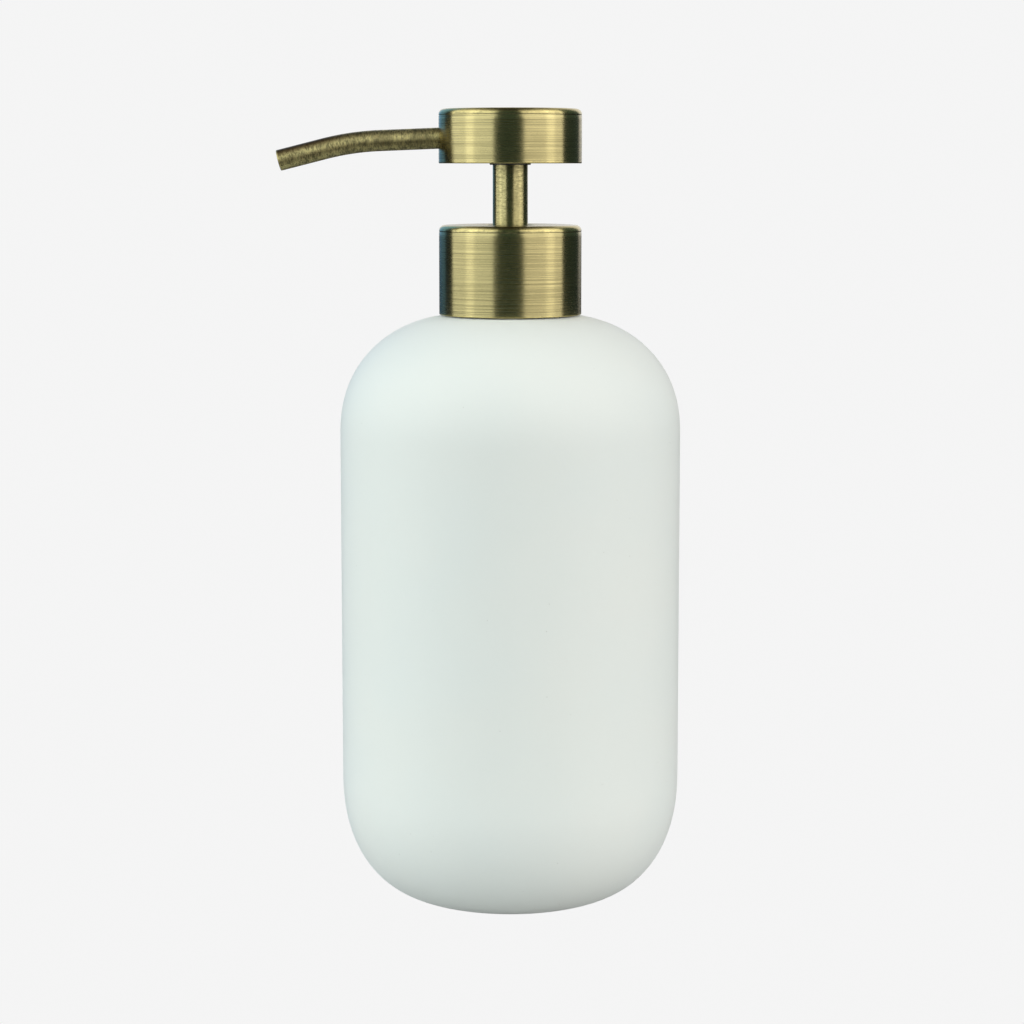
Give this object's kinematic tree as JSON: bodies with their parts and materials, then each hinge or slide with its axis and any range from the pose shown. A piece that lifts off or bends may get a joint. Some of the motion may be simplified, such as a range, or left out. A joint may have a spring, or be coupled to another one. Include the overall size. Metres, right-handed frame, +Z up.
{
  "type": "soap pump dispenser",
  "caption": "Capsule-shaped matte ceramic soap bottle with a screw-on brass pump: plain round collar, slim stem, round press head and a bent spout.",
  "frame": {"origin": "centre of the bottle's flat base, on the surface that it stands on", "axes": "+Z up along the axis of the bottle and the pump; the spout points along -X at rest"},
  "size_m": [0.0946, 0.08, 0.1862],
  "materials": {
    "bottle_ceramic": "matte, faintly speckled",
    "brushed_brass": "brushed, slightly aged",
    "aged_brass": "mottled, aged",
    "spring_steel": "bright drawn wire",
    "white_plastic": "moulded",
    "natural_plastic": "smooth, milky",
    "black_plastic": "moulded",
    "seal_rubber": "matte"
  },
  "bodies": {
    "bottle": {"bottle_body": "bottle_ceramic", "neck_sleeve": "white_plastic"},
    "gasket": {"neck_gasket": "seal_rubber"},
    "pump": {"pump_housing": "white_plastic", "dip_tube": "natural_plastic", "ball_cage": "white_plastic", "return_spring": "spring_steel", "chaplet": "black_plastic"},
    "collar": {"closure_cap": "black_plastic", "collar_shell": "brushed_brass"},
    "piston": {"piston_seal": "natural_plastic"},
    "actuator": {"piston_stem": "white_plastic", "stem_sleeve": "aged_brass", "head_core": "black_plastic", "head_base_plate": "black_plastic", "head_shell": "brushed_brass", "spout_tube": "aged_brass", "spout_liner": "natural_plastic", "spout_seal": "seal_rubber"},
    "inlet_ball": {"inlet_ball": "spring_steel"},
    "outlet_ball": {"outlet_ball": "spring_steel"}
  },
  "joints": [
    {"name": "pump_lift_out", "type": "slide", "parent": "bottle", "child": "gasket", "axis": [0, 0, 1], "range_m": [0, 0.15]},
    {"name": "collar_rise", "type": "slide", "parent": "gasket", "child": "pump", "axis": [0, 0, 1], "range_m": [0, 0.00525]},
    {"name": "collar_turn", "type": "hinge", "parent": "pump", "child": "collar", "pos_m": [0, 0, 0.15], "axis": [0, 0, 1], "range_deg": [0, 450.5]},
    {"name": "press_stroke", "type": "slide", "parent": "pump", "child": "piston", "axis": [0, 0, -1], "range_m": [0, 0.013], "stiffness_N_per_m": 450, "springref_m": -0.008, "deforming": ["return_spring"]},
    {"name": "head_swivel", "type": "hinge", "parent": "piston", "child": "actuator", "pos_m": [0, 0, 0.18], "axis": [0, 0, 1], "continuous": true},
    {"name": "inlet_ball_lift", "type": "slide", "parent": "pump", "child": "inlet_ball", "axis": [0, 0, 1], "range_m": [0, 0.0013]},
    {"name": "outlet_ball_lift", "type": "slide", "parent": "actuator", "child": "outlet_ball", "axis": [0, 0, 1], "range_m": [0, 0.0009]}
  ],
  "couplings": [
    {"joint": "collar_turn", "follows": "collar_rise", "rad_per_m": 1496}
  ]
}
